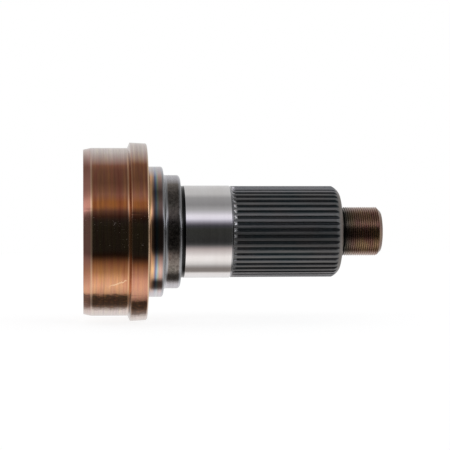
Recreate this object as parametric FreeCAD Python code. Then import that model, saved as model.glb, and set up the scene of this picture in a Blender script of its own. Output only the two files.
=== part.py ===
import FreeCAD, Part
import math
import os

# Weld-on midship stub shaft of a truck propeller shaft, in millimetres.
# The shaft lies along X. The open end of its drum points to -X and its thread
# to +X. The origin is on the axis, where the propeller shaft tube ends against
# the collar. It is two forgings, friction welded end to end under the neck:
# the hollow drum that the tube is pressed and welded on, and the solid shaft
# with the bearing journal, the spline for the yoke and the yoke nut's thread.
# The weld leaves a curled ring of flash inside the bore.

# Driving dimensions of the drum and its collar
tube_seat_diameter = 108.6
tube_seat_length = 28.4
lead_in_diameter = 106.4
lead_in_length = 5.0
weld_bevel_length = 1.5
collar_back_diameter = 115.6
collar_front_diameter = 114.5
collar_length = 12.4
collar_edge_chamfer = 0.8
neck_diameter = 84.6
neck_length = 10.4
neck_edge_chamfer = 1.2
neck_fillet_bevel = 1.3

# Driving dimensions of the hollow inside, which the photograph does not show
mouth_diameter = 92.0
mouth_chamfer = 1.5
cup_draft_degrees = 3.0
web_thickness = 13.0
cup_floor_bevel = 8.0
bore_diameter = 36.0
bore_edge_chamfer = 1.5
weld_offset = 6.3
shaft_recess_depth = 8.0

# Driving dimensions of the weld flash
flash_reach = 2.6
flash_width = 3.4
flash_valley_width = 2.4
flash_cusp_height = 0.8

# Driving dimensions of the bearing shoulder and journal
shoulder_diameter = 73.5
shoulder_length = 11.0
shoulder_edge_chamfer = 1.4
shoulder_fillet_bevel = 0.9
journal_diameter = 60.0
journal_length = 32.1
journal_fillet_bevel = 1.1
journal_edge_chamfer = 0.35
groove_diameter = 58.8
groove_length = 0.5

# Driving dimensions of the involute spline, hobbed on module 1.25. The phase turns the
# shaft about its axis to where its teeth stand in the photograph.
tooth_count = 46
tooth_module = 1.25
pressure_angle_degrees = 30.0
spline_length = 71.7
tooth_depth = 1.2
tip_clearance = 0.3
addendum_share = 0.55
runout_start = 1.2
runout_radius = 3.85
tooth_bevel_length = 2.5
tooth_bevel_below_root = 0.3
face_bevel_length = 2.2
spline_face_diameter = 50.8
tooth_phase_degrees = -1.9

# Driving dimensions of the threaded end, with the crests left as a plain cylinder
thread_diameter = 31.75
thread_length = 27.8
thread_relief_diameter = 29.4
thread_relief_length = 2.2
thread_start_bevel = 0.9
thread_end_chamfer_length = 2.6
thread_end_chamfer_height = 2.7

# Driving dimensions of the lathe centre in the threaded end
centre_mouth_diameter = 11.0
centre_pilot_diameter = 5.0
centre_pilot_length = 5.0
centre_cone_degrees = 60.0
drill_point_degrees = 118.0

# How far a cutter passes the metal that it cuts
cutter_overrun = 0.6

# Places along the shaft
open_end = -tube_seat_length
collar_front = collar_length
weld_plane = collar_front + weld_offset
neck_front = collar_front + neck_length
shoulder_front = neck_front + shoulder_length
journal_end = shoulder_front + journal_length
spline_face = journal_end + spline_length
shaft_end = spline_face + thread_length

# The spline's circles. The nominal diameter is two modules over the pitch diameter.
pitch_radius = tooth_module * tooth_count / 2
base_radius = pitch_radius * math.cos(math.radians(pressure_angle_degrees))
nominal_radius = pitch_radius + tooth_module
tip_radius = nominal_radius - tip_clearance
root_radius = tip_radius - tooth_depth

axis_point = FreeCAD.Vector(0, 0, 0)
axis_direction = FreeCAD.Vector(1, 0, 0)


def turned(corners):
    """Solid that an outline of (x, radius) corners sweeps round the shaft's axis."""
    points = [FreeCAD.Vector(x, 0, radius) for x, radius in corners]
    outline = Part.makePolygon(points + points[:1])
    return Part.Face(outline).revolve(axis_point, axis_direction, 360)


def involute_angle(radius):
    """Angle, in radians, that an involute has turned through at a radius."""
    pressure = math.acos(base_radius / radius)
    return math.tan(pressure) - pressure


def half_gap_angle(radius):
    """Half the angle that the gap between two teeth spans at a radius."""
    shift = nominal_radius - pitch_radius - addendum_share * tooth_module
    tilt = math.tan(math.radians(pressure_angle_degrees))
    tooth_thickness = tooth_module * math.pi / 2 + 2 * shift * tilt
    half_tooth = tooth_thickness / (2 * pitch_radius)
    half_tooth += involute_angle(pitch_radius) - involute_angle(radius)
    return math.pi / tooth_count - half_tooth


def flank_point(x, radius, side):
    """Point of the gap's flank at a radius. The gap is a quarter turn from the turned ring's seam."""
    angle = side * half_gap_angle(radius)
    return FreeCAD.Vector(x, radius * math.cos(angle), radius * math.sin(angle))


def gap_prism(start, end):
    """Space between two neighbouring teeth, longer and deeper than the cut."""
    low = root_radius - cutter_overrun
    high = tip_radius + cutter_overrun
    middle = (root_radius + tip_radius) / 2
    flanks = []
    for side in (-1, 1):
        low_point = flank_point(start, low, side)
        middle_point = flank_point(start, middle, side)
        high_point = flank_point(start, high, side)
        flanks.append(Part.Arc(low_point, middle_point, high_point).toShape())
    floor = Part.LineSegment(flank_point(start, low, -1), flank_point(start, low, 1)).toShape()
    lid = Part.LineSegment(flank_point(start, high, -1), flank_point(start, high, 1)).toShape()
    outline = Part.Wire(Part.__sortEdges__([floor, lid] + flanks))
    return Part.Face(outline).extrude(FreeCAD.Vector(end - start, 0, 0))


def cutter_sweep(start, end):
    """Slab that one pass of the cutter clears: a scooped run-out at its start, then a flat floor."""
    lid_radius = tip_radius + 2 * cutter_overrun
    tip_reach = math.sqrt(runout_radius ** 2 - (runout_radius - tooth_depth) ** 2)
    full_depth = start + tip_reach
    turn = math.acos(1 - (lid_radius - root_radius) / runout_radius)
    half_width = math.pi * pitch_radius / tooth_count

    def run_out(angle):
        along = full_depth - runout_radius * math.sin(angle)
        height = root_radius + runout_radius * (1 - math.cos(angle))
        return FreeCAD.Vector(along, height, -half_width)

    floor_end = FreeCAD.Vector(end, root_radius, -half_width)
    lid_end = FreeCAD.Vector(end, lid_radius, -half_width)
    edges = [
        Part.Arc(run_out(turn), run_out(turn / 2), run_out(0)).toShape(),
        Part.LineSegment(run_out(0), floor_end).toShape(),
        Part.LineSegment(floor_end, lid_end).toShape(),
        Part.LineSegment(lid_end, run_out(turn)).toShape(),
    ]
    return Part.Face(Part.Wire(edges)).extrude(FreeCAD.Vector(0, 0, 2 * half_width))


def cut_spline(blank):
    """The blank with its gaps cut, all copies of one gap."""
    start = journal_end + runout_start
    end = spline_face + cutter_overrun
    gap = gap_prism(start - 2 * runout_radius, end).common(cutter_sweep(start, end))
    gaps = []
    for number in range(tooth_count):
        copy = gap.copy()
        copy.rotate(axis_point, axis_direction, 360 * number / tooth_count)
        gaps.append(copy)
    return blank.cut(Part.makeCompound(gaps))


def make_tube_hub():
    """Hollow drum with the tube's seat, the collar and half of the neck."""
    mouth_radius = mouth_diameter / 2
    cup_floor = collar_front - web_thickness
    draft = math.tan(math.radians(cup_draft_degrees))
    floor_radius = mouth_radius - (cup_floor - open_end) * draft
    corners = [
        (open_end, mouth_radius + mouth_chamfer),
        (open_end, lead_in_diameter / 2),
        (open_end + lead_in_length, tube_seat_diameter / 2),
        (0, tube_seat_diameter / 2),
        (weld_bevel_length, collar_back_diameter / 2),
        (collar_front - collar_edge_chamfer, collar_front_diameter / 2),
        (collar_front, collar_front_diameter / 2 - collar_edge_chamfer),
        (collar_front, neck_diameter / 2 + neck_fillet_bevel),
        (collar_front + neck_fillet_bevel, neck_diameter / 2),
        (weld_plane, neck_diameter / 2),
        (weld_plane, bore_diameter / 2),
        (cup_floor + bore_edge_chamfer, bore_diameter / 2),
        (cup_floor, bore_diameter / 2 + bore_edge_chamfer),
        (cup_floor, floor_radius - cup_floor_bevel),
        (cup_floor - cup_floor_bevel, floor_radius + cup_floor_bevel * draft),
        (open_end + mouth_chamfer, mouth_radius - mouth_chamfer * draft),
    ]
    return turned(corners)


def make_splined_shaft():
    """Solid shaft with the shoulder, journal, spline, thread and lathe centre."""
    journal_radius = journal_diameter / 2
    recess_floor = weld_plane + shaft_recess_depth
    groove_start = journal_end + journal_edge_chamfer
    groove_end = groove_start + groove_length
    thread_radius = thread_diameter / 2
    thread_start = spline_face + thread_relief_length
    bevel_foot = spline_face - face_bevel_length
    pilot_radius = centre_pilot_diameter / 2
    cone_depth = (centre_mouth_diameter / 2 - pilot_radius) / math.tan(math.radians(centre_cone_degrees / 2))
    pilot_floor = shaft_end - cone_depth - centre_pilot_length
    drill_depth = pilot_radius / math.tan(math.radians(drill_point_degrees / 2))
    corners = [
        (recess_floor, 0),
        (recess_floor, bore_diameter / 2),
        (weld_plane, bore_diameter / 2),
        (weld_plane, neck_diameter / 2),
        (neck_front - neck_edge_chamfer, neck_diameter / 2),
        (neck_front, neck_diameter / 2 - neck_edge_chamfer),
        (neck_front, shoulder_diameter / 2 + shoulder_fillet_bevel),
        (neck_front + shoulder_fillet_bevel, shoulder_diameter / 2),
        (shoulder_front - shoulder_edge_chamfer, shoulder_diameter / 2),
        (shoulder_front, shoulder_diameter / 2 - shoulder_edge_chamfer),
        (shoulder_front, journal_radius + journal_fillet_bevel),
        (shoulder_front + journal_fillet_bevel, journal_radius),
        (journal_end, journal_radius),
        (groove_start, groove_diameter / 2),
        (groove_end, groove_diameter / 2),
        (groove_end + tip_radius - groove_diameter / 2, tip_radius),
        (bevel_foot - tooth_bevel_length, tip_radius),
        (bevel_foot, root_radius - tooth_bevel_below_root),
        (spline_face, spline_face_diameter / 2),
        (spline_face, thread_relief_diameter / 2),
        (thread_start, thread_relief_diameter / 2),
        (thread_start + thread_start_bevel, thread_radius),
        (shaft_end - thread_end_chamfer_length, thread_radius),
        (shaft_end, thread_radius - thread_end_chamfer_height),
        (shaft_end, centre_mouth_diameter / 2),
        (shaft_end - cone_depth, pilot_radius),
        (pilot_floor, pilot_radius),
        (pilot_floor - drill_depth, 0),
    ]
    shaft = cut_spline(turned(corners))
    shaft.rotate(axis_point, axis_direction, tooth_phase_degrees)
    return shaft


def make_weld_flash_ring():
    """Double curl of metal that the friction weld squeezes into the bore."""
    bore_radius = bore_diameter / 2
    crest_radius = bore_radius - flash_reach
    corners = [
        (weld_plane - flash_width, bore_radius),
        (weld_plane - flash_width, crest_radius),
        (weld_plane - flash_valley_width / 2, crest_radius),
        (weld_plane, bore_radius - flash_cusp_height),
        (weld_plane + flash_valley_width / 2, crest_radius),
        (weld_plane + flash_width, crest_radius),
        (weld_plane + flash_width, bore_radius),
    ]
    return turned(corners)


nodes = {
    "tube_hub": make_tube_hub(),
    "splined_shaft": make_splined_shaft(),
    "weld_flash_ring": make_weld_flash_ring(),
}
os.makedirs("parts", exist_ok=True)
for name, shape in nodes.items():
    shape.exportStep(os.path.join("parts", name + ".step"))
    box = shape.BoundBox
    print(name, shape.isValid(), len(shape.Solids), round(shape.Volume), round(box.XMin, 2), round(box.XMax, 2))
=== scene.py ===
import math
import random

import bmesh
import bpy
from bpy.props import FloatProperty, FloatVectorProperty, IntProperty, PointerProperty
from mathutils import Euler, Matrix, Vector


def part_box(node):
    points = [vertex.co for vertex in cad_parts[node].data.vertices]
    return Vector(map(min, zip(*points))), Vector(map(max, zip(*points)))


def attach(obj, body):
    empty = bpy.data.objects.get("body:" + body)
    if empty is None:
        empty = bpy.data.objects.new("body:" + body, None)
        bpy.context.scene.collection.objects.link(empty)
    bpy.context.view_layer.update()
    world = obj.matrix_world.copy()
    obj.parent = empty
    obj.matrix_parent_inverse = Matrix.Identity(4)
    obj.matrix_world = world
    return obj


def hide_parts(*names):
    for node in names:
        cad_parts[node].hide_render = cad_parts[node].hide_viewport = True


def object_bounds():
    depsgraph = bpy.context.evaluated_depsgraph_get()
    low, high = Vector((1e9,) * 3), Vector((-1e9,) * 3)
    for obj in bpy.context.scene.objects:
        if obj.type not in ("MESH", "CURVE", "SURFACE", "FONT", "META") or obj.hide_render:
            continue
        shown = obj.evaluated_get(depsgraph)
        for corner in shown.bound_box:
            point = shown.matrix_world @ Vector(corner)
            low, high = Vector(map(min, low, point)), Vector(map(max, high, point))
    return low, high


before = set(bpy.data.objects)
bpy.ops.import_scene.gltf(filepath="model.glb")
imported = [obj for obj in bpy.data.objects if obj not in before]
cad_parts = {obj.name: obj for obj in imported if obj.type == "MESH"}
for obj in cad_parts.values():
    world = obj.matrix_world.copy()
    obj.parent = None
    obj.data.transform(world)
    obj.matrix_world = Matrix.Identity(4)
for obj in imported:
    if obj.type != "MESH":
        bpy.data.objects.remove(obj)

bl_info = {
    "name": "Propeller Shaft Stub",
    "version": (1, 0, 0),
    "blender": (4, 5, 0),
    "location": "3D View > Sidebar > Stub Shaft",
    "description": "Builds the skins and finishes of a weld-on midship stub shaft around its solid frame",
    "category": "Object",
}

CAD_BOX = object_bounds()
HUB_LOW, HUB_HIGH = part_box("tube_hub")
SHAFT_LOW, SHAFT_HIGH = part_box("splined_shaft")
FLASH_LOW, FLASH_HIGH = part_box("weld_flash_ring")
OPEN_END = HUB_LOW[0]
WELD_PLANE = HUB_HIGH[0]
SHAFT_END = SHAFT_HIGH[0]
BORE_RADIUS = FLASH_HIGH[2]
MM = 0.001
TURN = 2 * math.pi
SKIN_SEGMENTS = 720
THREAD_SEGMENTS = 192
FLASH_SEGMENTS = 360
FLASH_STEPS = 10
ROUNDING_STEPS = 6
SHARP_EDGE = math.radians(28)
CORNER_MARGIN = 0.2 * MM  # how far past a corner a face's centre still counts as inside
BRACE = 1.6 * MM  # how far from an outline's corners its extra points stand
KNOCK_DEPTH = 0.22 * MM
KNOCK_REACH = 0.9 * MM
THREAD_HEIGHT = 0.6134  # height of a unified thread over its pitch
DRILL_POINT = 0.6  # height of a drill's point over its radius
FLOOR_GAP = 0.1 * MM  # keeps the object off the floor's plane


def length(name, text, default):
    """A length in metres that a user can change."""
    return FloatProperty(name=name, description=text, default=default, unit="LENGTH", precision=5)


def angle(name, text, degrees):
    """An angle that a user can change, stored in radians."""
    return FloatProperty(name=name, description=text, default=math.radians(degrees), subtype="ANGLE")


def colour(name, text, default):
    """A linear colour that a user can change."""
    return FloatVectorProperty(name=name, description=text, default=default, subtype="COLOR", min=0, max=1)


class HubSizes(bpy.types.PropertyGroup):
    """Sizes of the drum that the tube is pressed on, and of its collar."""

    seat_radius: length("Seat radius", "Radius of the tube's seat", 0.0543)
    lead_in_radius: length("Lead-in radius", "Radius at the open end", 0.0532)
    lead_in: length("Lead-in", "Length of the lead-in taper", 0.0050)
    lead_in_edge: length("Lead-in edge", "Rounding at the open end", 0.0004)
    bevel: length("Weld bevel", "Length of the collar's bevelled back", 0.0015)
    collar_back: length("Collar back", "Radius of the collar beside the bevel", 0.0578)
    collar_front: length("Collar front", "Radius of the collar beside the neck", 0.05725)
    collar_length: length("Collar length", "Length of the collar with its bevel", 0.0124)
    collar_edge: length("Collar edge", "Rounding of the collar's front edge", 0.0010)
    neck_radius: length("Neck radius", "Radius of the neck", 0.0423)
    neck_fillet: length("Neck fillet", "Fillet between collar and neck", 0.0020)
    mouth_radius: length("Mouth radius", "Radius of the cup at the open end", 0.0460)
    mouth_chamfer: length("Mouth chamfer", "Chamfer round the cup's mouth", 0.0015)
    web: length("Web", "Thickness of the web behind the collar's front", 0.0130)
    floor_bevel: length("Floor bevel", "Bevel round the cup's floor", 0.0080)
    floor_round: length("Floor rounding", "Rounding between the cup's floor and its bevel", 0.0025)
    wall_round: length("Wall rounding", "Rounding between the cup's wall and the bevel", 0.0060)
    bore_chamfer: length("Bore chamfer", "Chamfer where the bore meets the cup", 0.0015)
    draft: angle("Draft", "Draft of the cup's wall", 3)


class ShaftSizes(bpy.types.PropertyGroup):
    """Sizes of the neck, the bearing shoulder and the ground journal."""

    neck_front: length("Neck front", "Place of the neck's front face", 0.0228)
    neck_edge: length("Neck edge", "Rounding of the neck's front edge", 0.0015)
    shoulder_radius: length("Shoulder radius", "Radius of the bearing shoulder", 0.03675)
    shoulder_front: length("Shoulder front", "Place of the face that the bearing meets", 0.0338)
    shoulder_edge: length("Shoulder edge", "Rounding of the bearing shoulder", 0.0019)
    shoulder_fillet: length("Shoulder fillet", "Fillet between neck and shoulder", 0.0020)
    journal_fillet: length("Journal fillet", "Fillet at the foot of the journal", 0.0016)
    relief_radius: length("Relief radius", "Radius of the black band at the journal's foot", 0.0298)
    relief_step: length("Relief step", "Length of the step from the black band to the journal", 0.0003)
    journal_start: length("Journal start", "Place where the ground surface starts", 0.0365)
    journal_end: length("Journal end", "Place where the ground surface ends", 0.0659)
    journal_radius: length("Journal radius", "Radius of the ground journal", 0.0300)
    journal_bevel: length("Journal bevel", "Length of the bevel at the journal's end", 0.00035)
    journal_edge: length("Journal edge", "Rounding of the journal's end", 0.00015)
    groove_radius: length("Groove radius", "Radius of the groove before the spline", 0.0294)
    groove: length("Groove", "Length of the groove before the spline", 0.0005)
    recess_depth: length("Recess depth", "Depth of the recess behind the weld", 0.0080)
    flash_throat: length("Flash throat", "Radius that the weld flash leaves open", 0.0154)


class SplineSizes(bpy.types.PropertyGroup):
    """Sizes of the involute spline."""

    teeth: IntProperty(name="Teeth", description="Number of teeth", default=46, min=6)
    module: length("Module", "Pitch diameter over the number of teeth", 0.00125)
    pressure_angle: angle("Pressure angle", "Pressure angle of the flanks", 30)
    tip_radius: length("Tip radius", "Radius over the teeth", 0.0297)
    depth: length("Tooth depth", "Height of a tooth", 0.00135)
    shift: FloatProperty(name="Profile shift", description="Shift of the profile, in modules", default=0.45)
    tip_edge: length("Tip edge", "Broken edge of the tips", 0.00008)
    start: length("Start", "Place where the cutter ran out", 0.0671)
    runout: length("Run-out radius", "Radius of the scoop that the cutter left", 0.00385)
    rounding_start: length("Rounding start", "Place where the rounded end starts", 0.1329)
    roundness: FloatProperty(name="Roundness", description="1 for a chamfer, 2 for an arc", default=1.3)
    face: length("Face", "Place of the end face", 0.1376)
    face_radius: length("Face radius", "Radius of the end face", 0.0254)
    phase: angle("Phase", "How far the teeth are turned about the shaft", -1.9)


class ThreadSizes(bpy.types.PropertyGroup):
    """Sizes of the threaded end."""

    radius: length("Radius", "Radius over the crests", 0.015875)
    pitch: length("Pitch", "Distance from crest to crest", 0.0254 / 18)
    relief_radius: length("Relief radius", "Radius of the groove beside the spline", 0.0147)
    relief: length("Relief", "Length of the groove beside the spline", 0.0022)
    start_bevel: length("Start bevel", "Length over which the first crest grows", 0.0009)
    end_chamfer: length("End chamfer", "Length of the chamfer at the end", 0.0026)
    end_drop: length("End drop", "Height of the chamfer at the end", 0.0027)
    centre_mouth: length("Centre mouth", "Radius of the lathe centre's mouth", 0.0055)
    centre_pilot: length("Centre pilot", "Radius of the lathe centre's pilot hole", 0.0025)
    pilot_depth: length("Pilot depth", "Length of the pilot hole", 0.0050)
    centre_angle: angle("Centre angle", "Half the angle of the lathe centre's cone", 30)


class TemperColours(bpy.types.PropertyGroup):
    """Linear colours of the bare, tempered and scaled steel, and of the painted reflections, sheen and
    highlights.
    """

    copper: colour("Copper", "Bright temper colour, low on the drum", (0.78, 0.42, 0.26))
    bronze: colour("Bronze", "Temper colour between copper and umber", (0.45, 0.21, 0.095))
    umber: colour("Umber", "Brown temper colour, high on the drum", (0.34, 0.145, 0.09))
    ember: colour("Ember", "Deep orange temper colour", (0.25, 0.09, 0.03))
    rust: colour("Rust", "Orange temper colour below the drum's middle", (0.34, 0.14, 0.06))
    # Painted reflection: the darker edges of the dark band through the drum's middle.
    char: colour("Char", "Dark edge of the temper colour at the drum's middle", (0.155, 0.065, 0.036))
    # Painted reflection: brown temper colour darkened through the drum's middle.
    dark_middle_reflection: colour("Dusk", "Brown temper colour at the drum's middle", (0.235, 0.165, 0.11))
    # Painted reflection: the dark band near the drum's bottom.
    dark_band_reflection: colour("Smoke", "Dark temper colour near the drum's bottom", (0.14, 0.08, 0.052))
    # Painted sheen: pale along the top and the bottom, on the edge highlights and on the thread's chamfer.
    warm_sheen: colour("Ash", "Pale steel along the top and the bottom", (0.74, 0.64, 0.60))
    # Painted sheen: pale along the top and the bottom of the neck and of the spline's tips.
    cool_sheen: colour("Haze", "Pale steel along the top and the bottom of the neck", (0.66, 0.65, 0.70))
    blush: colour("Blush", "Pink temper colour of the lead-in taper", (0.66, 0.31, 0.26))
    tan: colour("Tan", "Steel beside the collar", (0.34, 0.19, 0.11))
    straw: colour("Straw", "Temper colour before the blue band", (0.82, 0.50, 0.30))
    # Painted highlight on the turned edges, and the colour of the small scratch.
    highlight_and_scratch: colour("Gleam", "Rubbed corners that catch the light", (0.95, 0.66, 0.43))
    violet: colour("Violet", "Temper colour at the edge of the blue band", (0.28, 0.23, 0.32))
    blue: colour("Blue", "Middle of the blue band", (0.26, 0.36, 0.58))
    sky: colour("Sky", "Light part of the blue band", (0.42, 0.56, 0.68))
    pale: colour("Pale", "Pale green edge of the blue band", (0.62, 0.62, 0.50))
    rose: colour("Rose", "Temper colour after the blue band", (0.76, 0.50, 0.43))
    grey: colour("Grey", "Bare steel at the corners", (0.46, 0.46, 0.475))
    scale: colour("Scale", "Dark scale on the bearing shoulder", (0.30, 0.265, 0.24))
    bright: colour("Bright", "Ground steel of the journal", (0.90, 0.89, 0.89))
    black: colour("Black", "Black ring and the thread's root", (0.03, 0.03, 0.03))
    oxide: colour("Oxide", "Dark finish of the spline", (0.15, 0.152, 0.155))
    teal: colour("Teal", "Greener patches of the spline's dark finish", (0.115, 0.145, 0.155))
    # Lighter tips of the spline, partly wear and partly painted highlight; also the lighter streaks in the
    # drum's painted dark band.
    wear_and_highlight: colour("Worn", "Rubbed edges of the spline's teeth", (0.225, 0.222, 0.22))
    cocoa: colour("Cocoa", "Temper colour of the thread", (0.47, 0.265, 0.215))
    gilt: colour("Gilt", "Golden patches of the thread", (0.52, 0.36, 0.21))
    moss: colour("Moss", "Green-black of the thread beside the spline", (0.14, 0.145, 0.13))


class StudioSettings(bpy.types.PropertyGroup):
    """Camera, floor and light."""

    distance: length("Camera distance", "From the shaft's axis to the camera", 1.070)
    camera_x: length("Camera place", "Where along the shaft the camera stands", -0.02855)
    yaw: angle("Camera yaw", "How far the camera turns towards the thread", 4.928)
    tilt: angle("Camera tilt", "How far the camera looks up", 0.2285)
    roll: angle("Camera roll", "How far the camera leans to the right", 0.128)
    lens: FloatProperty(name="Lens", description="Focal length in millimetres", default=131.8)
    floor_size: length("Floor size", "Side of the square floor", 6)


GROUPS = {
    "stub_hub": HubSizes,
    "stub_shaft": ShaftSizes,
    "stub_spline": SplineSizes,
    "stub_thread": ThreadSizes,
    "stub_colours": TemperColours,
    "stub_studio": StudioSettings,
}


def arc_outline(corners):
    """Outline points from corners of (x, radius) or (x, radius, rounding); the two ends aren't rounded."""
    outline = []
    for place, corner in enumerate(corners):
        here = Vector(corner[:2])
        rounding = corner[2] if len(corner) > 2 else 0
        if not rounding:
            outline.append(here)
            continue
        before = (Vector(corners[place - 1][:2]) - here).normalized()
        after = (Vector(corners[place + 1][:2]) - here).normalized()
        half = before.angle(after) / 2
        centre = here + (before + after).normalized() * (rounding / math.sin(half))
        first = here + before * (rounding / math.tan(half)) - centre
        last = here + after * (rounding / math.tan(half)) - centre
        for step in range(ROUNDING_STEPS + 1):
            outline.append(centre + first.lerp(last, step / ROUNDING_STEPS).normalized() * rounding)
    return outline


def braced(outline):
    """The outline with one more point near both ends of its long stretches, so that knocks stay small."""
    points = [outline[0]]
    for here, following in zip(outline, outline[1:]):
        run = (following - here).length
        if run > 3 * BRACE:
            points += [here.lerp(following, BRACE / run), following.lerp(here, BRACE / run)]
        points.append(following)
    return points


def even_angles(count):
    """Angles of a full turn in equal steps."""
    return [TURN * number / count for number in range(count)]


def skin_mesh(rows, angles, loop=False, mesh=None):
    """Rings about the X axis, in a new mesh or the one given.

    A row is (x, radius), and radius may be a list with one value an angle.
    """
    mesh = mesh or bmesh.new()
    rings = []
    for x, radius in rows:
        radii = radius if isinstance(radius, list) else [radius] * len(angles)
        ring = []
        for turn, reach in zip(angles, radii):
            ring.append(mesh.verts.new((x, reach * math.cos(turn), reach * math.sin(turn))))
        rings.append(ring)
    pairs = list(zip(rings, rings[1:]))
    if loop:
        pairs.append((rings[-1], rings[0]))
    for one, other in pairs:
        for number in range(len(angles)):
            following = (number + 1) % len(angles)
            mesh.faces.new((one[number], one[following], other[following], other[number]))
    return mesh


def tidy_mesh(mesh):
    """Joins the points that lie together, removes what has no area and turns the faces outwards."""
    bmesh.ops.remove_doubles(mesh, verts=mesh.verts, dist=2e-7)
    bmesh.ops.dissolve_degenerate(mesh, edges=mesh.edges, dist=1e-7)
    bmesh.ops.recalc_face_normals(mesh, faces=mesh.faces)


def finish_piece(name, mesh, node, materials):
    """Object from a mesh that stands for a node of the frame, smooth where its edges aren't sharp."""
    tidy_mesh(mesh)
    data = bpy.data.meshes.new(name)
    mesh.to_mesh(data)
    mesh.free()
    data.shade_smooth()
    data.set_sharp_from_angle(angle=SHARP_EDGE)
    piece = bpy.data.objects.new(name, data)
    bpy.context.scene.collection.objects.link(piece)
    for material in materials:
        data.materials.append(material)
    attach(piece, "root")
    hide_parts(node)
    return piece


def nick_edge(mesh, x, radius, count, seed):
    """Small knocks pressed into a turned edge, spread at random but the same every time."""
    draw = random.Random(seed)
    edge = [vert for vert in mesh.verts if abs(vert.co.x - x) < 3 * KNOCK_REACH]
    for _ in range(count):
        turn = draw.uniform(0, TURN)
        spread = KNOCK_REACH * draw.uniform(0.5, 1.3)
        knock = Vector((x, radius * math.cos(turn), radius * math.sin(turn)))
        dent = KNOCK_DEPTH * draw.uniform(0.3, 1)
        for vert in edge:
            away = (vert.co - knock).length
            if away < spread:
                share = 1 - away / spread
                inward = Vector((0, -vert.co.y, -vert.co.z)).normalized()
                vert.co += inward * dent * share * share


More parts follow.
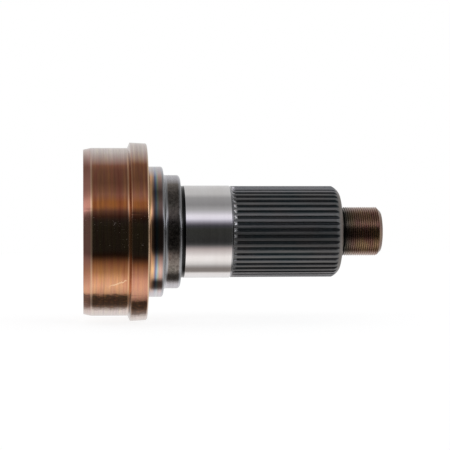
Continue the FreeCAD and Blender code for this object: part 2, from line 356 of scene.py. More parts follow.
class Finish:
    """A node material with the small blocks that the finishes share."""

    def __init__(self, name, metallic=1, anisotropic=0):
        self.material = bpy.data.materials.new(name)
        self.material.use_nodes = True
        self.tree = self.material.node_tree
        self.shader = self.tree.nodes["Principled BSDF"]
        self.shader.inputs["Metallic"].default_value = metallic
        self.shader.inputs["Anisotropic"].default_value = anisotropic
        if anisotropic:
            tangent = self.result("ShaderNodeTangent", direction_type="RADIAL", axis="X")
            self.feed(self.shader.inputs["Tangent"], tangent)
            self.shader.inputs["Anisotropic Rotation"].default_value = 0.25
        self.place = self.add("ShaderNodeTexCoord").outputs["Object"]
        split = self.add("ShaderNodeSeparateXYZ")
        self.feed(split.inputs[0], self.place)
        self.x, self.y, self.z = split.outputs
        squares = [self.times(side, side) for side in (self.y, self.z)]
        self.radius = self.math("SQRT", self.plus(*squares))
        self.upward = self.math("DIVIDE", self.z, self.radius)

    def add(self, kind, **settings):
        node = self.tree.nodes.new(kind)
        for name, value in settings.items():
            setattr(node, name, value)
        return node

    def feed(self, socket, value):
        if isinstance(value, bpy.types.NodeSocket):
            self.tree.links.new(value, socket)
        elif socket.type == "RGBA":
            socket.default_value = tuple(value)[:3] + (1,)
        else:
            socket.default_value = value

    def result(self, kind, *values, **settings):
        """First output of a new node, with its inputs fed in their order."""
        node = self.add(kind, **settings)
        for socket, value in zip(node.inputs, values):
            self.feed(socket, value)
        return node.outputs[0]

    def math(self, operation, *values):
        return self.result("ShaderNodeMath", *values, operation=operation)

    def plus(self, one, other):
        return self.math("ADD", one, other)

    def times(self, one, other):
        return self.math("MULTIPLY", one, other)

    def inverse(self, share):
        return self.math("SUBTRACT", 1, share)

    def away(self, value, place):
        """Distance of a value from a place."""
        return self.math("ABSOLUTE", self.math("SUBTRACT", value, place))

    def span(self, value, low, high, new_low=0, new_high=1, smooth=False):
        """Value moved from one range to another, and held at its ends."""
        kind = "SMOOTHSTEP" if smooth else "LINEAR"
        values = (value, low, high, new_low, new_high)
        return self.result("ShaderNodeMapRange", *values, interpolation_type=kind)

    def vary(self, noise, low, high):
        """Noise moved to a range, with its rare highs and lows cut off."""
        return self.span(noise, 0.3, 0.7, low, high)

    def ramp(self, value, low, high, stops):
        """Colour over a range, from stops of (place, colour) in the range's own unit."""
        node = self.add("ShaderNodeValToRGB")
        elements = node.color_ramp.elements
        while len(elements) < len(stops):
            elements.new(1)
        for element, (place, shade) in zip(elements, stops):
            element.position = (place - low) / (high - low)
            shade = tuple(shade) if hasattr(shade, "__len__") else (shade,) * 3
            element.color = shade[:3] + (1,)
        self.feed(node.inputs[0], self.span(value, low, high))
        return node.outputs[0]

    def by_height(self, place, stops):
        """Colour by height about the axis, from -1 at the bottom to 1 at the top."""
        return self.ramp(place, -1, 1, stops)

    def along_neck(self, place, stops):
        """Colour along the neck and the shoulder, from stops in millimetres."""
        return self.ramp(place, 12 * MM, 37 * MM, [(x * MM, shade) for x, shade in stops])

    def mix(self, share, one, other, blend="MIX"):
        node = self.add("ShaderNodeMix", data_type="RGBA", blend_type=blend)
        self.feed(node.inputs[0], share)
        self.feed(node.inputs[6], one)
        self.feed(node.inputs[7], other)
        return node.outputs[2]

    def tone(self, shade, factor):
        """Colour multiplied by a share or by another colour."""
        return self.mix(1, shade, factor, "MULTIPLY")

    def at_ends(self, low, high, share=1):
        """A share that grows from one height to another, towards both the top and the bottom."""
        return self.span(self.math("ABSOLUTE", self.upward), low, high, 0, share)

    def noise(self, along, across, detail=3, roughness=0.55):
        """Noise on the object's own coordinates, from frequencies a metre along and across the shaft."""
        stretch = (along, across, across)
        scaled = self.result("ShaderNodeVectorMath", self.place, stretch, operation="MULTIPLY")
        node = self.add("ShaderNodeTexNoise")
        self.feed(node.inputs["Vector"], scaled)
        self.feed(node.inputs["Scale"], 1)
        self.feed(node.inputs["Detail"], detail)
        self.feed(node.inputs["Roughness"], roughness)
        return node.outputs[0]

    def bump(self, *heights):
        """Bumps in a chain, each of (height from 0 to 1, depth in metres)."""
        normal = None
        for height, depth in heights:
            node = self.add("ShaderNodeBump")
            self.feed(node.inputs["Distance"], depth)
            self.feed(node.inputs["Height"], height)
            if normal is not None:
                self.feed(node.inputs["Normal"], normal)
            normal = node.outputs[0]
        self.feed(self.shader.inputs["Normal"], normal)

    def done(self, shade, roughness):
        self.feed(self.shader.inputs["Base Color"], shade)
        self.feed(self.shader.inputs["Roughness"], roughness)
        return self.material


def turning_marks(finish, fine=5200, coarse=900):
    """Two scales of lines left by the tool, which run round the shaft."""
    return finish.noise(fine, 18, detail=2), finish.noise(coarse, 9, detail=3)


def temper_and_reflection_zones(finish, colours):
    """Temper colours round the drum, from its bottom at -1 to its top at 1, with painted reflections: a
    dark band near the bottom, a dark band through the middle and a pale sheen along the top and the bottom.
    """
    clouds = finish.noise(200, 25, detail=3)
    place = finish.plus(finish.upward, finish.span(clouds, 0.2, 0.8, -0.012, 0.012))
    place = finish.plus(place, finish.span(finish.x, -0.2 * MM, 0.2 * MM, 0, 0.025))
    grit = finish.noise(420, 700, detail=4, roughness=0.7)
    low = finish.span(finish.upward, -0.62, -0.70)
    place = finish.plus(place, finish.times(low, finish.vary(grit, -0.015, 0.015)))
    # Painted reflections by height: the pale sheen at the top and the bottom, the dark band near the bottom
    # and the dark band through the middle with its darker edges are painted; the copper below and the umber
    # above are lighter and darker by height.
    shade = finish.by_height(place, [
        (-1, colours.warm_sheen), (-0.93, colours.warm_sheen), (-0.875, colours.dark_band_reflection), (-0.74, colours.dark_band_reflection),
        (-0.71, colours.copper), (-0.63, colours.copper), (-0.46, colours.bronze),
        (-0.33, colours.rust), (-0.26, colours.char), (-0.20, colours.dark_middle_reflection), (0.10, colours.dark_middle_reflection),
        (0.17, colours.char), (0.23, colours.char), (0.29, colours.ember), (0.34, colours.ember),
        (0.43, colours.umber), (0.76, colours.umber), (0.93, colours.warm_sheen), (1, colours.warm_sheen),
    ])
    # Lighter bronze streaks in the painted dark band near the bottom, painted as streaky highlights.
    wear_and_highlight = finish.times(finish.span(finish.upward, -0.70, -0.73), finish.span(finish.upward, -0.90, -0.86))
    wear_and_highlight = finish.times(wear_and_highlight, finish.span(grit, 0.50, 0.62, 0, 0.45))
    return finish.mix(wear_and_highlight, shade, colours.bronze)


def temper_bands_and_reflections(finish, colours):
    """Bands of temper colour that the weld's heat left along the neck, and the journal's black ring, with
    painted reflection bands by height and a painted pale sheen along the top and the bottom.
    """
    waver = finish.noise(30, 45, detail=2)
    place = finish.plus(finish.x, finish.span(waver, 0.2, 0.8, -0.25 * MM, 0.25 * MM))
    shade = finish.along_neck(place, [
        (12.4, colours.tan), (13.4, colours.tan), (14, colours.straw), (14.9, colours.straw),
        (15.9, colours.rose), (16.5, colours.violet), (17.1, colours.blue), (17.8, colours.sky),
        (18.45, colours.pale), (19.2, colours.rose), (20.8, colours.rose), (21.7, colours.grey),
        (24.5, colours.grey), (25.3, colours.scale), (31.5, colours.scale), (32.4, colours.grey),
        (33.4, colours.grey), (33.9, colours.black), (36.2, colours.black), (36.5, colours.grey),
    ])
    # Painted reflections: darker and lighter bands by height round the neck.
    painted_reflection_tone = finish.by_height(finish.upward, [
        (-1, 1), (-0.91, 0.95), (-0.85, 0.28), (-0.75, 0.15), (-0.685, 0.92), (-0.58, 0.92),
        (-0.38, 0.55), (-0.31, 0.20), (0.10, 0.17), (0.16, 0.10), (0.30, 0.12), (0.43, 0.25),
        (0.60, 0.22), (0.71, 0.50), (0.80, 0.65), (0.90, 0.95), (1, 1),
    ])
    # Where along the neck the painted reflection bands apply, strongest on the polished steel.
    painted_reflection_share = finish.along_neck(finish.x, [
        (14.2, 0), (15.6, 1), (20.8, 1), (21.8, 0.35), (24.6, 0.35), (25.3, 0.85),
        (31.6, 0.85), (32.6, 0.45), (33.9, 0.45),
    ])
    shade = finish.mix(painted_reflection_share, shade, finish.tone(shade, painted_reflection_tone))
    # Painted pale sheen along the top and the bottom, up to the bearing shoulder's face.
    sheen_share = finish.times(finish.at_ends(0.82, 0.93, 0.85), finish.span(finish.x, 33.8 * MM, 33.2 * MM))
    return finish.mix(sheen_share, shade, colours.cool_sheen)


def scratch(finish):
    """How much of the small pale scratch is at a place, low on the drum's near side."""
    wobble = finish.noise(600, 90, detail=2)
    run = finish.span(finish.x, -13.5 * MM, -1.5 * MM, -0.636, -0.562)
    run = finish.plus(run, finish.span(wobble, 0.2, 0.8, -0.012, 0.012))
    line = finish.span(finish.away(finish.upward, run), 0.004, 0.010, 1, 0)
    along = finish.times(finish.span(finish.x, -13.5 * MM, -10.0 * MM),
                        finish.span(finish.x, -1.2 * MM, -2.2 * MM))
    near = finish.math("LESS_THAN", finish.y, 0)
    return finish.times(finish.times(line, along), near)


def pits(finish):
    """Small scattered pits, where the surface is dull."""
    grain = finish.noise(900, 900, detail=1)
    groups = finish.noise(110, 110, detail=1)
    spread = finish.span(finish.math("ABSOLUTE", finish.upward), 0.2, 0.16)
    spread = finish.times(spread, finish.span(groups, 0.46, 0.56))
    return finish.times(finish.span(grain, 0.66, 0.72), spread)


def copper_finish(colours, hub):
    """Turned steel with the drum's copper-brown temper colour and painted reflections, the bands on its
    half of the neck, and painted highlights on its edges.
    """
    finish = Finish("copper_tempered_steel", anisotropic=0.85)
    fine, coarse = turning_marks(finish)
    on_neck = finish.math("GREATER_THAN", finish.x, hub.collar_length)
    shade = finish.mix(on_neck, temper_and_reflection_zones(finish, colours), temper_bands_and_reflections(finish, colours))
    shade = finish.tone(shade, finish.vary(coarse, 0.86, 1.1))
    tints = finish.noise(190, 12, detail=2)
    tint = finish.ramp(tints, 0.3, 0.7, [
        (0.3, (1, 0.90, 0.90)), (0.48, 1), (0.6, (1.06, 1.05, 0.92)), (0.7, 1),
    ])
    arcs = finish.noise(520, 34, detail=3, roughness=0.6)
    arc_tint = finish.ramp(arcs, 0.3, 0.7, [
        (0.3, (0.84, 0.74, 0.74)), (0.42, (1.02, 0.92, 0.95)), (0.5, 1),
        (0.58, (1.10, 1.10, 0.94)), (0.7, (1.26, 1.28, 1.16)),
    ])
    tint = finish.tone(tint, arc_tint)
    tinted = finish.inverse(finish.at_ends(0.75, 0.88, 0.7))
    shade = finish.mix(tinted, shade, tint, "MULTIPLY")
    pinker = finish.by_height(finish.upward, [(-0.77, 0), (-0.73, 0.4), (-0.5, 0.4), (-0.36, 0)])
    low_collar = finish.times(finish.span(finish.x, -0.2 * MM, 0.2 * MM), pinker)
    low_collar = finish.times(low_collar, finish.inverse(on_neck))
    shade = finish.mix(low_collar, shade, colours.blush)
    on_taper = finish.math("LESS_THAN", finish.x, OPEN_END + hub.lead_in)
    pink = finish.by_height(finish.upward, [
        (-1, 0.15), (-0.45, 0.25), (-0.30, 0.6), (0.60, 0.6), (0.85, 0.35), (1, 0.2),
    ])
    shade = finish.mix(finish.times(on_taper, pink), shade, colours.blush)
    # Lighter turned edges: partly rubbed wear, partly painted highlight, paler towards the top and the
    # bottom.
    rim_highlight = finish.mix(finish.at_ends(0.80, 0.95), colours.straw, colours.warm_sheen)
    bright_rim_highlight = finish.mix(finish.at_ends(0.70, 0.95), colours.highlight_and_scratch, colours.warm_sheen)
    edges = (
        (OPEN_END + hub.lead_in, hub.seat_radius, 0.5, bright_rim_highlight),
        (-0.3 * MM, hub.seat_radius, 0.6, rim_highlight),
        (hub.bevel, hub.collar_back, 0.35, rim_highlight),
        (hub.collar_length - 0.3 * MM, hub.collar_front, 0.95, bright_rim_highlight),
    )
    for x, radius, share, tone in edges:
        across = finish.times(finish.away(finish.radius, radius), 0.4)
        away = finish.math("MAXIMUM", finish.away(finish.x, x), across)
        rubbed_and_highlight = finish.span(away, 0.35 * MM, 0.8 * MM, share, 0)
        shade = finish.mix(rubbed_and_highlight, shade, tone)
    shade = finish.mix(finish.times(scratch(finish), 0.75), shade, colours.highlight_and_scratch)
    spots = finish.times(pits(finish), finish.inverse(on_neck))
    shade = finish.mix(finish.times(spots, 0.7), shade, colours.scale)
    rough = finish.plus(finish.vary(fine, 0.13, 0.19), finish.times(spots, 0.35))
    finish.bump((fine, 0.003 * MM), (coarse, 0.006 * MM))
    return finish.done(shade, rough)


def forged_finish(colours):
    """Rough brown scale inside the cup."""
    finish = Finish("forged_scale")
    grain = finish.noise(420, 420, detail=5, roughness=0.7)
    rings = finish.noise(1400, 12, detail=2)
    shade = finish.mix(finish.span(grain, 0.35, 0.7), colours.umber, colours.scale)
    shade = finish.tone(shade, finish.vary(rings, 0.8, 1.1))
    finish.bump((grain, 0.06 * MM), (rings, 0.02 * MM))
    return finish.done(shade, finish.vary(grain, 0.42, 0.6))


def temper_finish(colours):
    """Steel of the neck and the bearing shoulder, mottled where it is scaled, with the painted reflection
    bands and sheen of the neck.
    """
    finish = Finish("banded_temper_steel", anisotropic=0.7)
    fine, coarse = turning_marks(finish, 4200, 800)
    shade = temper_bands_and_reflections(finish, colours)
    mottle = finish.noise(560, 560, detail=4, roughness=0.7)
    patches = finish.noise(150, 90, detail=3)
    on_scale = finish.times(finish.span(finish.x, 24.8 * MM, 25.6 * MM),
                            finish.span(finish.x, 33 * MM, 32 * MM))
    spots = finish.mix(finish.span(mottle, 0.36, 0.66), (0.55, 0.53, 0.52), (1.3, 1.28, 1.26))
    blotches = [(0.3, (0.82, 0.86, 0.85)), (0.55, 1), (0.7, (1.1, 1.02, 0.98))]
    spots = finish.tone(spots, finish.ramp(patches, 0.3, 0.7, blotches))
    # The mottle is calmer towards the top and the bottom, under the painted sheen.
    calm = finish.inverse(finish.at_ends(0.72, 0.85, 0.7))
    mottled = finish.times(on_scale, calm)
    shade = finish.mix(mottled, shade, finish.tone(shade, spots))
    shade = finish.tone(shade, finish.vary(coarse, 0.85, 1.08))
    rough = finish.plus(0.18, finish.times(on_scale, finish.vary(mottle, 0.02, 0.2)))
    grit = finish.times(mottle, on_scale)
    finish.bump((fine, 0.003 * MM), (coarse, 0.006 * MM), (grit, 0.03 * MM))
    return finish.done(shade, rough)


def journal_finish(colours):
    """Ground steel, bright and nearly a mirror, with fine grinding lines."""
    finish = Finish("ground_steel", anisotropic=0.7)
    fine, coarse = turning_marks(finish, 7000, 1500)
    clouds = finish.noise(55, 22, detail=3)
    shade = finish.mix(finish.span(clouds, 0.3, 0.75), colours.bright, (0.82, 0.79, 0.78))
    shade = finish.tone(shade, finish.span(coarse, 0.25, 0.75, 0.96, 1.02))
    finish.bump((fine, 0.0015 * MM), (coarse, 0.002 * MM))
    return finish.done(shade, finish.vary(coarse, 0.1, 0.16))


def oxide_finish(colours, sizes):
    """Dark oxide of the spline, with painted shade in the gaps, tips lighter from wear and painted
    highlight, a painted pale sheen on the tips along the top and the bottom, and bare metal where the
    cutter ran out.
    """
    finish = Finish("spline_oxide")
    along = finish.noise(45, 900, detail=4)
    grain = finish.noise(900, 900, detail=4, roughness=0.7)
    patches = finish.noise(45, 60, detail=2)
    root = sizes.tip_radius - sizes.depth
    shade = finish.mix(finish.span(patches, 0.42, 0.62), colours.oxide, colours.teal)
    shade = finish.tone(shade, finish.vary(grain, 0.75, 1.15))
    # Painted shade in the tooth gaps: darker towards the root.
    gap_shade = finish.span(finish.radius, root + 0.1 * MM, sizes.tip_radius - 0.3 * MM, 0.55, 1)
    shade = finish.tone(shade, gap_shade)
    share = finish.span(finish.x, sizes.rounding_start, sizes.face)
    left = finish.inverse(finish.math("POWER", share, sizes.roundness))
    left = finish.math("POWER", finish.math("MAXIMUM", left, 0), 1 / sizes.roundness)
    blank = finish.span(left, 0, 1, sizes.face_radius, sizes.tip_radius)
    below = finish.math("SUBTRACT", blank, finish.radius)
    crest = finish.span(below, 0.35 * MM, 0.05 * MM)
    # Lighter tips: partly wear, partly painted highlight.
    rubbed_and_highlight = finish.times(crest, finish.vary(along, 0.35, 1))
    shade = finish.mix(rubbed_and_highlight, shade, colours.wear_and_highlight)
    # Painted pale sheen on the tips along the top and the bottom.
    shade = finish.mix(finish.times(crest, finish.at_ends(0.80, 0.93, 0.4)), shade, colours.cool_sheen)
    rounded = finish.times(crest, finish.span(share, 0.25, 0.7, 0, 0.8))
    shade = finish.mix(rounded, shade, colours.scale)
    inside = finish.math("GREATER_THAN", below, 0.08 * MM)
    cut = finish.times(inside, finish.span(finish.x, sizes.start + 2.6 * MM, sizes.start + 1.5 * MM))
    cut = finish.times(cut, finish.span(along, 0.35, 0.6, 0.15, 1))
    # Painted shade: the bare cut metal is dimmer below the middle.
    cut = finish.times(cut, finish.span(finish.upward, -0.25, 0.1, 0.35, 1))
    shade = finish.mix(cut, shade, colours.bright)
    finish.bump((grain, 0.004 * MM), (along, 0.008 * MM))
    rough = finish.math("SUBTRACT", finish.vary(grain, 0.38, 0.5), finish.times(cut, 0.3))
    return finish.done(shade, rough)


def thread_finish(colours, spline, thread):
    """Thread with brown and golden temper colours that turn black towards the spline, with painted shade in
    its roots and a painted pale sheen at the chamfer and along the top and the bottom.
    """
    finish = Finish("tempered_thread")
    clouds = finish.noise(160, 70, detail=4)
    warm = finish.mix(finish.span(clouds, 0.4, 0.62), colours.cocoa, colours.gilt)
    stops = [(spline.face + x * MM, share) for x, share in ((0, 0), (4, 0.15), (9, 0.75), (15, 1))]
    heat = finish.ramp(finish.x, spline.face, SHAFT_END, stops)
    shade = finish.mix(heat, colours.moss, warm)
    # Painted shade in the thread's roots, and a lighter crest as painted highlight.
    depth = finish.span(finish.radius, thread.radius - 0.8 * MM, thread.radius, 0.45, 1.1)
    shade = finish.tone(shade, depth)
    # Painted highlight: the chamfer at the end is paler.
    chamfer = SHAFT_END - thread.end_chamfer
    on_end = finish.span(finish.x, chamfer, chamfer + 1 * MM)
    shade = finish.mix(finish.times(on_end, 0.12), shade, colours.warm_sheen)
    # Painted pale sheen along the top and the bottom.
    shade = finish.mix(finish.at_ends(0.8, 0.95, 0.4), shade, colours.warm_sheen)
    grain = finish.noise(1500, 300, detail=3)
    finish.bump((grain, 0.006 * MM))
    return finish.done(shade, finish.vary(grain, 0.2, 0.3))


def flash_finish(colours):
    """Blued and spattered metal of the weld flash."""
    finish = Finish("weld_flash")
    grain = finish.noise(900, 900, detail=5, roughness=0.7)
    shade = finish.mix(finish.span(grain, 0.35, 0.65), colours.violet, colours.scale)
    finish.bump((grain, 0.08 * MM))
    return finish.done(shade, finish.vary(grain, 0.35, 0.6))


class STUB_OT_stage(bpy.types.Operator):
    """Set up the camera, the pale floor and the soft studio light."""

    bl_idname = "stub.stage"
    bl_label = "Stage"

    def execute(self, context):
        scene = context.scene
        studio = scene.stub_studio
        scene.view_settings.view_transform = "Standard"
        self.make_camera(scene, studio)
        self.make_floor(scene, studio)
        self.make_world(scene)
        return {"FINISHED"}

    def make_camera(self, scene, studio):
        data = bpy.data.cameras.new("photo_camera")
        data.lens = studio.lens
        data.clip_end = 20
        camera = bpy.data.objects.new("photo_camera", data)
        camera.location = (studio.camera_x, -studio.distance, 0)
        aim = Euler((math.pi / 2 + studio.tilt, 0, -studio.yaw)).to_matrix()
        camera.rotation_euler = (aim @ Matrix.Rotation(-studio.roll, 3, "Z")).to_euler()
        scene.collection.objects.link(camera)
        scene.camera = camera

    def make_floor(self, scene, studio):
        half = studio.floor_size / 2
        mesh = bpy.data.meshes.new("floor")
        height = CAD_BOX[0][2] - FLOOR_GAP
        corners = ((-half, -half), (half, -half), (half, half), (-half, half))
        mesh.from_pydata([(x, y, height) for x, y in corners], [], [(0, 1, 2, 3)])
        floor = bpy.data.objects.new("floor", mesh)
        floor.visible_glossy = False
        scene.collection.objects.link(floor)
        mesh.materials.append(self.floor_finish())

    def floor_finish(self):
        """White to the camera, where only a faint shadow of the object is left."""
        finish = Finish("pale_floor", metallic=0)
        finish.feed(finish.shader.inputs["Roughness"], 0.9)
        finish.feed(finish.shader.inputs["Base Color"], (0.8, 0.8, 0.8))
        matt = finish.shader.outputs[0]
        white = finish.result("ShaderNodeEmission", (1, 1, 1), 0.825)
        hole = finish.result("ShaderNodeEmission", (0, 0, 0), 0)
        shadow = finish.result("ShaderNodeMixShader", 0.55, matt, hole)
        seen = finish.result("ShaderNodeAddShader", white, shadow)
        camera_ray = finish.add("ShaderNodeLightPath").outputs["Is Camera Ray"]
        surface = finish.result("ShaderNodeMixShader", camera_ray, matt, seen)
        finish.feed(finish.tree.nodes["Material Output"].inputs["Surface"], surface)
        return finish.material

    def make_world(self, scene):
        """White behind the object, and a soft studio with a dark gap for its reflections."""
        world = bpy.data.worlds.new("studio")
        world.use_nodes = True
        scene.world = world
        Studio(world).build()


class Studio(Finish):
    """The world's nodes. Directions are those of the world, so nothing moves with the camera."""

    def __init__(self, world):
        self.tree = world.node_tree
        self.tree.nodes.clear()
        split = self.add("ShaderNodeSeparateXYZ")
        self.feed(split.inputs[0], self.add("ShaderNodeTexCoord").outputs["Generated"])
        self.x, self.y, self.z = split.outputs

    def build(self):
        climb = self.math("ARCTAN2", self.z, self.times(self.y, -1))
        climb = self.times(climb, 180 / math.pi)
        side = self.times(self.math("ARCSINE", self.x), 180 / math.pi)
        aside = self.away(side, 5)
        ahead = self.ramp(climb, -180, 180, [
            (-180, 0.74), (-140, (0.86, 0.84, 0.84)), (-127, (0.83, 0.80, 0.79)),
            (-118, (0.25, 0.225, 0.21)), (-104, (0.24, 0.215, 0.20)),
            (-95, (0.42, 0.40, 0.39)), (-88, (0.70, 0.68, 0.66)), (-76, (0.94, 0.91, 0.89)),
            (-66, (0.97, 0.93, 0.91)), (-45, (0.50, 0.44, 0.43)), (-38, (0.22, 0.20, 0.20)),
            (-33, 0.06), (-26, 0.027), (6, (0.030, 0.031, 0.028)),
            (15, (0.05, 0.05, 0.06)), (20, (0.16, 0.15, 0.18)), (26, (0.44, 0.43, 0.50)),
            (32, (0.84, 0.82, 0.92)), (40, (0.87, 0.85, 0.93)), (47, (0.62, 0.61, 0.66)),
            (56, (0.41, 0.41, 0.42)), (70, (0.275, 0.275, 0.28)), (93, (0.34, 0.34, 0.345)),
            (108, 0.56), (132, 0.60), (180, 0.74),
        ])
        beside = self.ramp(climb, -180, 180, [
            (-180, 0.72), (-126, 0.70), (-110, 0.45), (-90, 0.90), (-60, 0.74),
            (-38, 0.36), (-30, 0.20), (20, 0.18), (26, 0.34), (34, 1.05), (42, 1),
            (52, 0.55), (62, 0.38), (100, 0.27), (125, 0.45), (180, 0.72),
        ])
        wide = self.ramp(climb, -180, 180, [
            (-180, 0.72), (-90, 0.66), (-45, 0.46), (-30, 0.17), (18, 0.15),
            (26, (0.60, 0.62, 0.70)), (31, (1.40, 1.42, 1.56)), (44, (1.40, 1.42, 1.50)),
            (56, 0.62), (78, 0.38), (120, 0.50), (180, 0.72),
        ])
        near = self.mix(self.span(aside, 10, 17, smooth=True), ahead, beside)
        shade = self.mix(self.span(aside, 26, 44, smooth=True), near, wide)
        studio = self.result("ShaderNodeBackground", shade, 1)
        white = self.result("ShaderNodeBackground", (1, 1, 1), 1)
        camera_ray = self.add("ShaderNodeLightPath").outputs["Is Camera Ray"]
        surface = self.result("ShaderNodeMixShader", camera_ray, studio, white)
        self.feed(self.add("ShaderNodeOutputWorld").inputs["Surface"], surface)


class STUB_OT_tube_hub(bpy.types.Operator):
    """Build the drum with the tube's seat, the collar, the hollow cup and half of the neck."""

    bl_idname = "stub.tube_hub"
    bl_label = "Tube Hub"

    def execute(self, context):
        scene = context.scene
        hub = scene.stub_hub
        floor = hub.collar_length - hub.web
        floor_radius = hub.mouth_radius - (floor - OPEN_END) * math.tan(hub.draft)
        corners = [
            (OPEN_END, hub.mouth_radius + hub.mouth_chamfer),
            (OPEN_END, hub.lead_in_radius, hub.lead_in_edge),
            (OPEN_END + hub.lead_in, hub.seat_radius),
            (0, hub.seat_radius),
            (hub.bevel, hub.collar_back),
            (hub.collar_length, hub.collar_front, hub.collar_edge),
            (hub.collar_length, hub.neck_radius, hub.neck_fillet),
            (WELD_PLANE, hub.neck_radius),
            (WELD_PLANE, BORE_RADIUS),
            (floor + hub.bore_chamfer, BORE_RADIUS),
            (floor, BORE_RADIUS + hub.bore_chamfer),
            (floor, floor_radius - hub.floor_bevel, hub.floor_round),
            (floor - hub.floor_bevel, floor_radius + hub.floor_bevel * math.tan(hub.draft), hub.wall_round),
            (OPEN_END + hub.mouth_chamfer, hub.mouth_radius - hub.mouth_chamfer * math.tan(hub.draft)),
        ]
        mesh = skin_mesh(braced(arc_outline(corners)), even_angles(SKIN_SEGMENTS), loop=True)
        nick_edge(mesh, hub.collar_length, hub.collar_front, 14, 3)
        nick_edge(mesh, hub.bevel, hub.collar_back, 10, 5)
        nick_edge(mesh, OPEN_END, hub.lead_in_radius, 12, 8)
        colours = scene.stub_colours
        materials = [copper_finish(colours, hub), forged_finish(colours)]
        piece = finish_piece("tube_hub_skin", mesh, "tube_hub", materials)
        inside = hub.mouth_radius + CORNER_MARGIN
        for face in piece.data.polygons:
            centre = face.center
            reach = math.hypot(centre.y, centre.z)
            hollow = reach < inside and centre.x < floor + CORNER_MARGIN
            if hollow or reach < BORE_RADIUS + CORNER_MARGIN:
                face.material_index = 1
        return {"FINISHED"}


class STUB_OT_neck_and_journal(bpy.types.Operator):
    """Build the rest of the neck, the bearing shoulder and the ground journal."""

    bl_idname = "stub.neck_and_journal"
    bl_label = "Neck and Journal"

    def execute(self, context):
        scene = context.scene
        hub, sizes = scene.stub_hub, scene.stub_shaft
        recess = WELD_PLANE + sizes.recess_depth
        groove_start = sizes.journal_end + sizes.journal_bevel
        groove_end = groove_start + sizes.groove
        colours = scene.stub_colours
        corners = [
            (recess, 0),
            (recess, BORE_RADIUS),
            (WELD_PLANE, BORE_RADIUS),
            (WELD_PLANE, hub.neck_radius),
            (sizes.neck_front, hub.neck_radius, sizes.neck_edge),
            (sizes.neck_front, sizes.shoulder_radius, sizes.shoulder_fillet),
            (sizes.shoulder_front, sizes.shoulder_radius, sizes.shoulder_edge),
            (sizes.shoulder_front, sizes.relief_radius, sizes.journal_fillet),
            (sizes.journal_start - sizes.relief_step, sizes.relief_radius),
            (sizes.journal_start, sizes.journal_radius),
            (sizes.journal_end, sizes.journal_radius, sizes.journal_edge),
            (groove_start, sizes.groove_radius),
            (groove_end, sizes.groove_radius),
            (groove_end, 0),
        ]
        mesh = skin_mesh(braced(arc_outline(corners)), even_angles(SKIN_SEGMENTS))
        nick_edge(mesh, sizes.shoulder_front, sizes.shoulder_radius - 0.5 * MM, 10, 12)
        nick_edge(mesh, sizes.neck_front, hub.neck_radius, 7, 13)
        materials = [temper_finish(colours), journal_finish(colours)]
        piece = finish_piece("neck_and_journal_skin", mesh, "splined_shaft", materials)
        for face in piece.data.polygons:
            if sizes.journal_start - 0.01 * MM < face.center.x < sizes.journal_end:
                face.material_index = 1
        return {"FINISHED"}


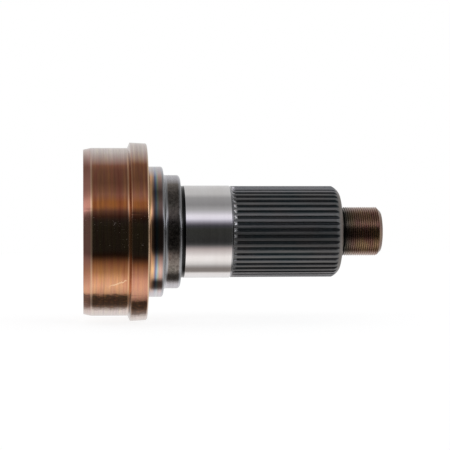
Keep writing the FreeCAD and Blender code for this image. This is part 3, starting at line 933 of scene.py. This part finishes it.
class STUB_OT_spline(bpy.types.Operator):
    """Build the involute teeth with their scooped run-outs and chamfered ends."""

    bl_idname = "stub.spline"
    bl_label = "Spline"

    def execute(self, context):
        scene = context.scene
        sizes, shaft = scene.stub_spline, scene.stub_shaft
        profile = self.tooth_profile(sizes)
        pitch = TURN / sizes.teeth
        angles = []
        tops = []
        for tooth in range(sizes.teeth):
            for turn, radius in profile:
                angles.append(sizes.phase + tooth * pitch + turn)
                tops.append(radius)
        first = shaft.journal_end + shaft.journal_bevel + shaft.groove
        rows = [(first, 0), (first, shaft.groove_radius)]
        for x in self.stations(sizes):
            blank = self.blank_radius(x, sizes)
            floor = self.cutter_floor(x, sizes)
            rows.append((x, [min(blank, max(top, floor)) for top in tops]))
        rows += [(sizes.face, sizes.face_radius), (sizes.face, 0)]
        mesh = skin_mesh(rows, angles)
        material = oxide_finish(scene.stub_colours, sizes)
        finish_piece("spline_skin", mesh, "splined_shaft", [material])
        return {"FINISHED"}

    def half_gap(self, radius, sizes):
        """Half the angle of the gap between two teeth at a radius, from the involute's formula."""
        pitch_radius = sizes.module * sizes.teeth / 2
        base = pitch_radius * math.cos(sizes.pressure_angle)

        def involute(reach):
            pressure = math.acos(base / reach)
            return math.tan(pressure) - pressure

        shift = sizes.shift * sizes.module
        thickness = sizes.module * math.pi / 2 + 2 * shift * math.tan(sizes.pressure_angle)
        half_tooth = thickness / (2 * pitch_radius) + involute(pitch_radius) - involute(radius)
        return math.pi / sizes.teeth - half_tooth

    def tooth_profile(self, sizes):
        """Angles and radii of one pitch, from the middle of a gap's left tooth to the next one."""
        root = sizes.tip_radius - sizes.depth
        edge = sizes.tip_edge
        right = [(0, root)]
        for share in (0, 0.06, 0.3, 0.55, 0.8, 1):
            radius = root + (sizes.depth - edge) * share
            right.append((self.half_gap(radius, sizes), radius))
        tip = self.half_gap(sizes.tip_radius - edge, sizes)
        right.append((tip + edge * 0.6 / sizes.tip_radius, sizes.tip_radius - 0.25 * edge))
        right.append((tip + edge * 1.6 / sizes.tip_radius, sizes.tip_radius))
        right[1] = (right[1][0] * 0.8, root)
        left = [(-turn, radius) for turn, radius in reversed(right[1:])]
        return left + right

    def runout_reach(self, sizes):
        """Length over which the cutter left the metal."""
        return math.sqrt(sizes.runout ** 2 - (sizes.runout - sizes.depth) ** 2)

    def stations(self, sizes):
        """Places along the spline where its section changes, close together in the curved stretches."""
        reach = self.runout_reach(sizes)
        full = sizes.start + reach
        places = [sizes.start + reach * step / 12 for step in range(13)]
        places += [full + (sizes.rounding_start - full) * step / 6 for step in range(1, 6)]
        run = sizes.face - sizes.rounding_start
        places += [sizes.rounding_start + run * math.sin(math.pi / 2 * step / 28) for step in range(28)]
        return places

    def blank_radius(self, x, sizes):
        """Radius of the turned blank before its gaps are cut."""
        share = (x - sizes.rounding_start) / (sizes.face - sizes.rounding_start)
        if share <= 0:
            return sizes.tip_radius
        left = (1 - share ** sizes.roundness) ** (1 / sizes.roundness)
        return sizes.face_radius + (sizes.tip_radius - sizes.face_radius) * left

    def cutter_floor(self, x, sizes):
        """Lowest radius that the cutter reached at a place."""
        root = sizes.tip_radius - sizes.depth
        reach = self.runout_reach(sizes)
        short = sizes.start + reach - x
        if short <= 0:
            return root
        if short >= reach:
            return sizes.tip_radius
        return root + sizes.runout - math.sqrt(sizes.runout ** 2 - short ** 2)


class STUB_OT_threaded_end(bpy.types.Operator):
    """Build the helical thread for the yoke nut, its relief and the lathe centre."""

    bl_idname = "stub.threaded_end"
    bl_label = "Threaded End"

    def execute(self, context):
        scene = context.scene
        sizes, spline = scene.stub_thread, scene.stub_spline
        start = spline.face + sizes.relief
        mesh = self.helix_mesh(sizes, start)
        angles = even_angles(THREAD_SEGMENTS)
        left = [(spline.face, 0), (spline.face, sizes.relief_radius), (start, sizes.relief_radius)]
        cone = (sizes.centre_mouth - sizes.centre_pilot) / math.tan(sizes.centre_angle)
        pilot = SHAFT_END - cone - sizes.pilot_depth
        right = [
            (SHAFT_END, sizes.radius - sizes.end_drop),
            (SHAFT_END, sizes.centre_mouth),
            (SHAFT_END - cone, sizes.centre_pilot),
            (pilot, sizes.centre_pilot),
            (pilot - sizes.centre_pilot * DRILL_POINT, 0),
        ]
        for rows in (left, right):
            skin_mesh(rows, angles, mesh=mesh)
        material = thread_finish(scene.stub_colours, spline, sizes)
        finish_piece("threaded_end_skin", mesh, "splined_shaft", [material])
        return {"FINISHED"}

    def envelope(self, x, sizes, start):
        """Radius of the turned blank at a place: the relief, the bevel, the crests and the end chamfer."""
        if x <= start:
            return sizes.relief_radius
        rise = (sizes.radius - sizes.relief_radius) * (x - start) / sizes.start_bevel
        drop = sizes.end_drop * (x - SHAFT_END + sizes.end_chamfer) / sizes.end_chamfer
        return min(sizes.radius, sizes.relief_radius + rise, sizes.radius - drop)

    def helix_mesh(self, sizes, start):
        """One continuous ridge: rows follow the helix, and the ends are squashed onto flat rings."""
        depth = THREAD_HEIGHT * sizes.pitch
        ridge = [(0, 0), (0.125, 0), (0.28, 0.5), (0.4375, 1), (0.6875, 1), (0.84, 0.5)]
        turns = math.ceil((SHAFT_END - start) / sizes.pitch) + 2
        mesh = bmesh.new()
        columns = []
        for step in range(turns * THREAD_SEGMENTS + 1):
            turn = TURN * step / THREAD_SEGMENTS
            column = []
            for share, fall in ridge:
                x = start + sizes.pitch * (step / THREAD_SEGMENTS + share - 1)
                x = min(max(x, start), SHAFT_END)
                radius = min(sizes.radius - depth * fall, self.envelope(x, sizes, start))
                if x == SHAFT_END:
                    radius = sizes.radius - sizes.end_drop
                column.append(mesh.verts.new((x, radius * math.cos(turn), radius * math.sin(turn))))
            columns.append(column)
        for step in range((turns - 1) * THREAD_SEGMENTS):
            here = columns[step] + [columns[step + THREAD_SEGMENTS][0]]
            following = columns[step + 1] + [columns[step + 1 + THREAD_SEGMENTS][0]]
            for number in range(len(ridge)):
                corners = (here[number], here[number + 1], following[number + 1], following[number])
                mesh.faces.new(corners)
        loose = [vert for vert in mesh.verts if not vert.link_faces]
        bmesh.ops.delete(mesh, geom=loose, context="VERTS")
        return mesh


class STUB_OT_weld_flash(bpy.types.Operator):
    """Build the double curl of flash that the friction weld leaves in the bore."""

    bl_idname = "stub.weld_flash"
    bl_label = "Weld Flash"

    def execute(self, context):
        reach = BORE_RADIUS - context.scene.stub_shaft.flash_throat
        width = (FLASH_HIGH[0] - FLASH_LOW[0]) / 2
        middle = (FLASH_HIGH[0] + FLASH_LOW[0]) / 2
        draw = random.Random(21)
        angles = even_angles(FLASH_SEGMENTS)
        waves = [(draw.randint(2, 19), draw.uniform(0, TURN), draw.uniform(0.2, 1)) for _ in range(9)]
        total = sum(size for _, _, size in waves)
        rows = []
        for side in (-1, 1):
            for step in range(FLASH_STEPS + 1):
                share = step / FLASH_STEPS if side > 0 else 1 - step / FLASH_STEPS
                bulge = math.sin(math.pi * share ** 0.8) ** 0.7 if 0 < share < 1 else 0
                base = 0.3 * (1 - share)
                radii = []
                for turn in angles:
                    ripple = sum(size * math.sin(count * turn + lag) for count, lag, size in waves) / total
                    height = reach * max(bulge, base) * (0.86 + 0.12 * ripple)
                    radii.append(BORE_RADIUS - height)
                rows.append((middle + side * width * share, radii))
        rows.append((middle + width, BORE_RADIUS))
        rows.insert(0, (middle - width, BORE_RADIUS))
        mesh = skin_mesh(rows, angles, loop=True)
        material = flash_finish(context.scene.stub_colours)
        finish_piece("weld_flash_skin", mesh, "weld_flash_ring", [material])
        return {"FINISHED"}


class STUB_PT_sidebar(bpy.types.Panel):
    """Sizes, colours and build buttons of the stub shaft."""

    bl_idname = "STUB_PT_sidebar"
    bl_label = "Stub Shaft"
    bl_space_type = "VIEW_3D"
    bl_region_type = "UI"
    bl_category = "Stub Shaft"

    def draw(self, context):
        layout = self.layout
        for operator in OPERATORS:
            layout.operator(operator.bl_idname)
        for name, group in GROUPS.items():
            box = layout.box()
            box.label(text=group.__doc__)
            for field in group.__annotations__:
                box.prop(getattr(context.scene, name), field)


OPERATORS = (
    STUB_OT_stage,
    STUB_OT_tube_hub,
    STUB_OT_neck_and_journal,
    STUB_OT_spline,
    STUB_OT_threaded_end,
    STUB_OT_weld_flash,
)


def register():
    for group in GROUPS.values():
        bpy.utils.register_class(group)
    for name, group in GROUPS.items():
        setattr(bpy.types.Scene, name, PointerProperty(type=group))
    for operator in OPERATORS:
        bpy.utils.register_class(operator)
    bpy.utils.register_class(STUB_PT_sidebar)


def unregister():
    bpy.utils.unregister_class(STUB_PT_sidebar)
    for operator in reversed(OPERATORS):
        bpy.utils.unregister_class(operator)
    for name in GROUPS:
        delattr(bpy.types.Scene, name)
    for group in GROUPS.values():
        bpy.utils.unregister_class(group)


def main():
    register()
    for step in (
        bpy.ops.stub.stage,
        bpy.ops.stub.tube_hub,
        bpy.ops.stub.neck_and_journal,
        bpy.ops.stub.spline,
        bpy.ops.stub.threaded_end,
        bpy.ops.stub.weld_flash,
    ):
        step()


if __name__ == "__main__":
    main()
